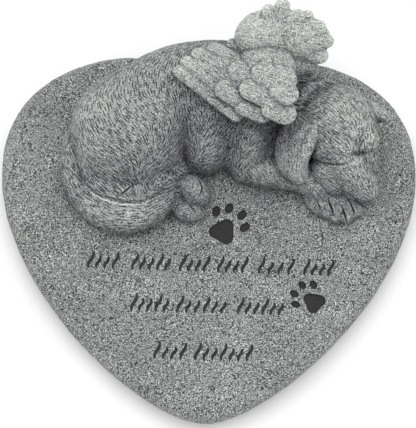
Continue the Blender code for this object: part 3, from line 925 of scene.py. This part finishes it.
# The thin raised rim where the tail lies against the thigh, which also gets a painted highlight
TAIL_RIM = (
    (-58.2, 16.2), (-56.0, 12.8), (-52.3, 9.6), (-46.1, 7.2), (-40.4, 5.8), (-33.3, 5.6), (-26.8, 8.2),
    (-22.4, 12.0),
)

# Lines cut one by one: (x, y) places on the skin seen from above, half-width and depth
CUT_LINES = (
    (((50.4, 29.2), (52.6, 27.4), (56.0, 26.2), (60.0, 25.5), (63.6, 25.6), (66.4, 27.0)), 0.9, 0.5),
    (((65.6, 29.6), (68.6, 30.9), (71.4, 31.6), (74.2, 32.4)), 1.5, 0.8),
    (((70.1, 33.4), (71.4, 35.7), (72.7, 38.3)), 0.6, 0.3),
    (((56.6, 13.0), (57.6, 10.6), (58.5, 8.4), (58.9, 6.6)), 0.55, 0.85),
    (((63.0, 10.4), (64.1, 7.8), (64.9, 5.8), (65.3, 4.3)), 0.55, 0.85),
    (((66.6, 13.0), (67.9, 10.8), (68.7, 9.2), (69.0, 8.1)), 0.55, 0.75),
    (((51.4, 12.6), (52.6, 10.0), (53.4, 8.2)), 0.5, 0.5),
    (((-5.0, 20.6), (-3.5, 17.6), (-3.0, 15.0), (-3.9, 12.6)), 0.55, 0.8),
    (((-9.4, 9.8), (-7.2, 7.4), (-5.8, 5.8)), 0.5, 0.35),
    (((-35.4, 15.2), (-37.5, 13.2), (-39.4, 11.6), (-41.6, 9.9)), 0.5, 0.6),
    (((-62.5, 30.0), (-61.0, 23.0), (-59.0, 18.0), (-56.0, 14.5), (-52.0, 11.2), (-46.0, 8.8), (-40.0, 7.5),
      (-33.0, 7.3), (-26.4, 10.0), (-21.6, 14.2)), 1.2, 0.5),
    (((79.4, 14.6), (78.6, 13.2), (77.4, 12.4)), 0.5, 0.5),
    (((72.6, 12.3), (67.3, 13.8), (60.5, 16.6)), 0.5, 0.5),
)


def dropped_line(tree, places):
    """The points of the skin under (x, y) places."""
    hits = [tree.ray_cast(Vector((*place, 100)), Vector((0, 0, -1)))[0] for place in places]
    return [hit for hit in hits if hit is not None]


def cut_lines(skin):
    """Depth and steepness of the eye's, toes', knee's and mouth's lines, and share of the tail's rim."""
    tree = BVHTree.FromPolygons(skin.start.tolist(), skin.faces.tolist())
    depths = np.zeros(len(skin.start))
    steepness = np.zeros(len(skin.start))
    for places, half_width, depth in CUT_LINES:
        line = dropped_line(tree, places)
        if len(line) > 1:
            cut = groove(skin, [line], half_width, depth)
            depths = np.maximum(depths, cut)
            steepness = np.maximum(steepness, cut / half_width)
    rim = groove(skin, [dropped_line(tree, TAIL_RIM)], RIM_HALF_WIDTH, 1.0)
    return depths, steepness, rim


def relief_shading_of(skin, strokes):
    """Painted shade and highlight at each point, from about -1 to 1: darker by the strokes' tone and in
    hollows and folds, lighter on standing edges.
    """
    edges = np.clip(skin.hollowness(EDGE_PASSES) / EDGE_HEIGHT, -1, 1)
    folds = np.clip(skin.hollowness(FOLD_PASSES) / FOLD_HEIGHT, -1, 1)
    return EDGE_TONE * edges + FOLD_TONE * folds - strokes


def nearness(skin, places):
    """1 at the middle of the nearest of the (x, y, radius) places, less away from it."""
    share = np.zeros(len(skin.start))
    for x, y, radius in places:
        gap = np.sum((skin.start[:, :2] - (x, y)) ** 2, axis=1)
        share = np.maximum(share, np.exp(-gap / radius**2))
    return share


def piece_of(skin, name, chosen=None):
    """An object of the skin's chosen triangles, at its real size and place on the slab."""
    faces = skin.faces if chosen is None else skin.faces[chosen]
    used, faces = np.unique(faces, return_inverse=True)
    faces = faces.reshape(-1, 3)
    scale = FIGURE_LENGTH / FIGURE_UNITS
    points = skin.points[used] * scale + np.array((0, 0, STONE_THICKNESS))
    mesh = bpy.data.meshes.new(name)
    mesh.from_pydata(points.tolist(), [], faces.tolist())
    store(mesh, "relief_shading", skin.relief_shading[used])
    store(mesh, "sky", skin.sky[used])
    mesh.shade_smooth()
    mesh.normals_split_custom_set_from_vertices(skin.normals()[used].tolist())
    return placed(name, mesh)


def furred_body():
    """The body's skin with the strokes of its fur and its few listed cut lines."""
    skin = Skin(body_skin())
    guides = [((x, y, z), (along_x, along_y, 0)) for x, y, z, along_x, along_y in COMB]
    runs = flow(skin, guides, COMB_REACH, HAIR_SWAY)
    fur = combed(skin, runs, HAIR_GAP, HAIR_LENGTH, HAIR_SEED)
    strength = 1 - SMOOTHING * nearness(skin, SMOOTH_PLACES)
    depths = groove(skin, fur, HAIR_HALF_WIDTH, HAIR_DEPTH, HAIR_UNEVENNESS) * strength
    lines, steepness, rim = cut_lines(skin)
    skin.push(lumps(skin, 1) - np.maximum(depths, lines) + RIM_HEIGHT * rim)
    # Painted shade in the fur's strokes and cut lines, painted highlight on the tail's rim
    tone = STROKE_TONE * (depths / HAIR_DEPTH - HAIR_SHIFT * strength)
    skin.relief_shading = relief_shading_of(skin, np.maximum(tone, LINE_TONE * steepness) - RIM_TONE * rim)
    return skin


def feathered_wing(build, feathers, seed, painted_light=0.0):
    """The skin of a wing whose feathers carry strokes along their length."""
    skin = Skin(skin_of(build.__name__, [group(build)], WING_VOXEL, WING_SOFTNESS))
    guides = []
    for tip, root, _ in feathers:
        tip = Vector(tip)
        root = Vector(root)
        for share in (0.1, 0.5, 0.9):
            guides.append((tuple(root.lerp(tip, share)), tuple(tip - root)))
    runs = flow(skin, guides, BARB_REACH, BARB_SWAY)
    barbs = combed(skin, runs, BARB_GAP, BARB_LENGTH, seed)
    depths = groove(skin, barbs, BARB_HALF_WIDTH, BARB_DEPTH, BARB_UNEVENNESS)
    skin.push(lumps(skin, seed) - depths)
    # Painted shade in the barbs, plus any painted light given for the wing
    skin.relief_shading = relief_shading_of(skin, BARB_TONE * (depths / BARB_DEPTH - BARB_SHIFT)) + painted_light
    return skin


def sky_directions():
    """Directions spread over the sky, thicker overhead, leaned away from the reader."""
    lean = Matrix.Rotation(-SKY_LEAN, 3, "X")
    directions = []
    for i in range(SKY_SHADE_RAYS):
        reach = math.sqrt((i + 0.5) / SKY_SHADE_RAYS)
        turn = math.pi * (3 - math.sqrt(5)) * i
        height = math.sqrt(1 - reach * reach)
        directions.append(lean @ Vector((reach * math.cos(turn), reach * math.sin(turn), height)))
    return directions


def share_of_sky(points, normals, trees):
    """How much of the sky each point sees, from 0 to 1, found at points well apart and blended."""
    cells = {}
    for i, p in enumerate(points):
        cells.setdefault(tuple(int(c // SKY_SHADE_SPACING) for c in p), i)
    chosen = list(cells.values())
    rays = sky_directions()
    seen = []
    spots = KDTree(len(chosen))
    for n, i in enumerate(chosen):
        normal = Vector(normals[i])
        start = Vector(points[i]) + normal * SKY_SHADE_LIFT
        light = 0
        for ray in rays:
            if normal.dot(ray) > SKY_SHADE_GRAZING and not any(tree.ray_cast(start, ray)[0] for tree in trees):
                light += 1
        seen.append(light / SKY_SHADE_RAYS)
        spots.insert(points[i], n)
    spots.balance()
    shares = np.empty(len(points))
    for i, p in enumerate(points):
        total = 0.0
        weight = 0.0
        for _, n, gap in spots.find_n(p, SKY_SHADE_NEIGHBOURS):
            near = 1 / (gap * gap + SKY_SHADE_BLEND)
            total += seen[n] * near
            weight += near
        shares[i] = total / weight
    return shares


def give(node, inputs):
    """Gives each of a node's inputs its value, or a link to another node's output."""
    for key, value in inputs.items():
        if isinstance(value, bpy.types.NodeSocket):
            node.id_data.links.new(value, node.inputs[key])
        else:
            node.inputs[key].default_value = value


def joined(material, kind, inputs=None, **settings):
    """A new node in a material, with its inputs and its settings."""
    node = material.node_tree.nodes.new(kind)
    for key, value in settings.items():
        setattr(node, key, value)
    give(node, inputs or {})
    return node


def noise_at(material, coords, size, detail=2.0, roughness=0.6):
    """Noise whose marks are about the given size, in metres."""
    inputs = {"Vector": coords, "Scale": 1 / size, "Detail": detail, "Roughness": roughness}
    return joined(material, "ShaderNodeTexNoise", inputs).outputs["Fac"]


def sum_of(material, terms, start):
    """start plus each (socket, middle, amount): amount times the socket's distance from its middle."""
    total = None
    for socket, middle, amount in terms:
        base = start - middle * amount
        if total is not None:
            shift = {0: total, 1: -middle * amount}
            base = joined(material, "ShaderNodeMath", shift, operation="ADD").outputs[0]
        inputs = {0: socket, 1: amount, 2: base}
        total = joined(material, "ShaderNodeMath", inputs, operation="MULTIPLY_ADD").outputs[0]
    return total


def ramp(material, socket, stops):
    """A colour for every value, through (position, (red, green, blue)) stops."""
    node = joined(material, "ShaderNodeValToRGB", {0: socket})
    elements = node.color_ramp.elements
    while len(elements) < len(stops):
        elements.new(0.5)
    for element, (position, colour) in zip(elements, stops):
        element.position = position
        element.color = (*colour, 1)
    return node.outputs["Color"]


def new_material(name):
    material = bpy.data.materials.new(name)
    material.use_nodes = True
    coords = joined(material, "ShaderNodeTexCoord").outputs["Object"]
    return material, material.node_tree.nodes["Principled BSDF"], coords


STONE_STOPS = (
    (0.00, (0.014, 0.013, 0.016)),
    (0.25, (0.070, 0.069, 0.080)),
    (0.45, (0.165, 0.172, 0.181)),
    (0.60, (0.262, 0.278, 0.275)),
    (0.80, (0.480, 0.510, 0.470)),
    (1.00, (0.740, 0.780, 0.700)),
)


# Marks in the stone and paint as (size in metres, detail, roughness), specks as (size, low, high)
GRAINS = (0.00046, 1.2, 0.7)
FLECKS = (0.0015, 1.0, 0.5)
STAINS = (0.022, 3.0, 0.55)
PITS = (0.0011, 0.34, 0.26)
GLINTS = (0.0009, 0.68, 0.76)
PAINT_GRAINS = (0.0009, 3.0, 0.7)
BLOTCHES = 0.22
GLINT_SHARE = 0.6
OPEN_SKY = 0.9
ROUGHEST = 0.96
SMOOTHEST = 0.74

# Bumps as (strength, distance in metres), and where in its grain the paint covers and thins
STONE_BUMP = (0.55, 0.0003)
PAINT_BUMP = (0.3, 0.0002)
PAINT_COVERS = 0.40
PAINT_THINS = 0.72

# Paints as (darkest, lightest, roughness), and the paper under the stone
WRITING_PAINT = ((0.012, 0.012, 0.013), (0.060, 0.061, 0.064), 0.85)
PRINT_PAINT = ((0.003, 0.003, 0.004), (0.018, 0.018, 0.020), 0.7)
PAPER_STOPS = ((0.3, (0.91, 0.91, 0.91)), (0.7, (0.93, 0.93, 0.93)))
PAPER_CLOUDS = 0.2
PAPER_SIZE = 6


def add_bump(material, shader, height, strength, distance):
    """Roughens the surface by a height."""
    inputs = {"Strength": strength, "Distance": distance, "Height": height}
    give(shader, {"Normal": joined(material, "ShaderNodeBump", inputs).outputs[0]})


def specks(material, coords, size, low, high):
    """1 in scattered specks of about the given size, where the noise is past low towards high."""
    marks = noise_at(material, coords, size, 0.0, 0.5)
    inputs = {"Value": marks, "From Min": low, "From Max": high}
    return joined(material, "ShaderNodeMapRange", inputs).outputs[0]


def stone_material(name, tone):
    """Cast stone: fine grains with dark pits, painted shade where little sky is seen and in carved hollows,
    painted light on higher parts and standing edges.
    """
    material, shader, coords = new_material(name)
    grain = noise_at(material, coords, *GRAINS)
    fleck = noise_at(material, coords, *FLECKS)
    stain = noise_at(material, coords, *STAINS)
    pits = specks(material, coords, *PITS)
    glints = specks(material, coords, *GLINTS)
    place = joined(material, "ShaderNodeSeparateXYZ", {0: coords})
    sky = joined(material, "ShaderNodeAttribute", attribute_name="sky")
    terms = [
        (grain, 0.5, tone["grain"]),
        (fleck, 0.5, BLOTCHES),
        (stain, 0.5, BLOTCHES),
        (pits, 0.0, -tone["specks"]),
        (glints, 0.0, tone["specks"] * GLINT_SHARE),
        # Painted shade where little of the sky is seen
        (sky.outputs["Fac"], OPEN_SKY, tone["sky_shade"]),
        # Painted light growing with height, together with the dry-brushed paint of the higher parts
        (place.outputs["Z"], STONE_THICKNESS, tone["height_light"]),
    ]
    # Painted shade in the carved hollows and painted highlight on their edges
    if tone["relief_shading"]:
        relief_shading = joined(material, "ShaderNodeAttribute", attribute_name="relief_shading")
        terms.append((relief_shading.outputs["Fac"], 0.0, tone["relief_shading"]))
    value = sum_of(material, terms, tone["middle"])
    give(shader, {"Base Color": ramp(material, value, STONE_STOPS), "Specular IOR Level": 0.25})
    inputs = {"Value": grain, "To Min": ROUGHEST, "To Max": SMOOTHEST}
    give(shader, {"Roughness": joined(material, "ShaderNodeMapRange", inputs).outputs[0], "Metallic": 0.0})
    add_bump(material, shader, grain, *STONE_BUMP)
    return material


def paint_material(name, dark, light, roughness):
    """Dark paint in a sunk mark, thin in places so that the stone's grain shows."""
    material, shader, coords = new_material(name)
    grain = noise_at(material, coords, *PAINT_GRAINS)
    colour = ramp(material, grain, ((PAINT_COVERS, dark), (PAINT_THINS, light)))
    give(shader, {"Base Color": colour, "Roughness": roughness})
    add_bump(material, shader, grain, *PAINT_BUMP)
    return material


def floor_material():
    """Plain white paper."""
    material, shader, coords = new_material("floor_paper")
    tone = ramp(material, noise_at(material, coords, PAPER_CLOUDS), PAPER_STOPS)
    give(shader, {"Base Color": tone, "Roughness": 0.9, "Specular IOR Level": 0.1})
    return material


def add_floor():
    bpy.ops.mesh.primitive_plane_add(size=PAPER_SIZE)
    floor = bpy.context.object
    floor.name = "floor"
    floor.data.materials.append(floor_material())


def add_light():
    """Even white surroundings and one broad light from above, a little behind and to the left."""
    world = bpy.data.worlds.new("studio")
    world.use_nodes = True
    give(world.node_tree.nodes["Background"], {"Color": (1, 1, 1, 1), "Strength": WORLD_STRENGTH})
    bpy.context.scene.world = world
    sun = placed("broad_light", bpy.data.lights.new("broad_light", "SUN"))
    sun.data.energy = SUN_STRENGTH
    sun.data.angle = SUN_BREADTH
    sun.rotation_euler = SUN_LEAN


def add_camera():
    """The photograph's viewing angle."""
    back = Vector((0, -math.cos(CAMERA_ELEVATION), math.sin(CAMERA_ELEVATION)))
    camera = placed("camera", bpy.data.cameras.new("camera"))
    camera.rotation_mode = "QUATERNION"
    roll = Matrix.Rotation(CAMERA_ROLL, 4, "Z").to_quaternion()
    camera.rotation_quaternion = (-back).to_track_quat("-Z", "Y") @ roll
    camera.location = CAMERA_TARGET + back * CAMERA_DISTANCE
    camera.data.sensor_fit = "HORIZONTAL"
    camera.data.sensor_width = SENSOR_WIDTH
    camera.data.lens = SENSOR_WIDTH * CAMERA_DISTANCE / (PHOTO_SCALE * PHOTO_WIDTH)
    bpy.context.scene.camera = camera


def shade_slab_by_sky(slab, trees):
    """Stores how much of the sky each point of the slab sees past the puppy, for the painted shade that the
    puppy casts on it.
    """
    scale = FIGURE_UNITS / FIGURE_LENGTH
    points = values_of(slab.data.vertices, "co", 3).reshape(-1, 3)
    points = (points - (0, 0, STONE_THICKNESS)) * scale
    points[:, 2] = np.maximum(points[:, 2], 0)
    up = np.tile((0.0, 0.0, 1.0), (len(points), 1))
    store(slab.data, "sky", share_of_sky(points, up, trees))


def main():
    slab = placed("memorial_slab", slab_piece())
    slab.data.materials.append(stone_material("slab_stone", SLAB_TONE))
    slab.data.materials.append(paint_material("writing_paint", *WRITING_PAINT))
    slab.data.materials.append(paint_material("print_paint", *PRINT_PAINT))
    body = furred_body()
    near = feathered_wing(near_wing, NEAR_FEATHERS, NEAR_SEED)
    # The far wing's colour is lightened: painted light
    far = feathered_wing(far_wing, FAR_FEATHERS, FAR_SEED, FAR_WING_PAINTED_LIGHT)
    skins = (body, near, far)
    trees = [BVHTree.FromPolygons(s.points.tolist(), s.faces.tolist()) for s in skins]
    for skin in skins:
        # Painted shade where little of the sky is seen, kept above the deepest share
        skin.sky = np.maximum(DEEPEST_SKY_SHADE, share_of_sky(skin.points, skin.start_normals, trees))
        # Painted light at the chosen places
        skin.relief_shading += nearness(skin, PAINTED_LIGHT_PLACES) * PAINTED_LIGHT_AMOUNT
    # Painted shade cast by the puppy on the slab
    shade_slab_by_sky(slab, trees)
    part = np.digitize(body.points[body.faces].mean(axis=1)[:, 0], SPLIT_AT)
    carved = [piece_of(body, name, part == i) for i, name in enumerate(BODY_PIECES)]
    carved += [piece_of(near, "near_wing"), piece_of(far, "far_wing")]
    carved_stone = stone_material("carved_stone", CARVED_TONE)
    for piece in carved:
        piece.data.materials.append(carved_stone)
    for piece in [slab] + carved:
        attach(piece, BODY)
        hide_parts(NODE)
    add_floor()
    add_light()
    add_camera()
    bpy.context.scene.view_settings.view_transform = "Standard"


main()
bpy.context.view_layer.update()
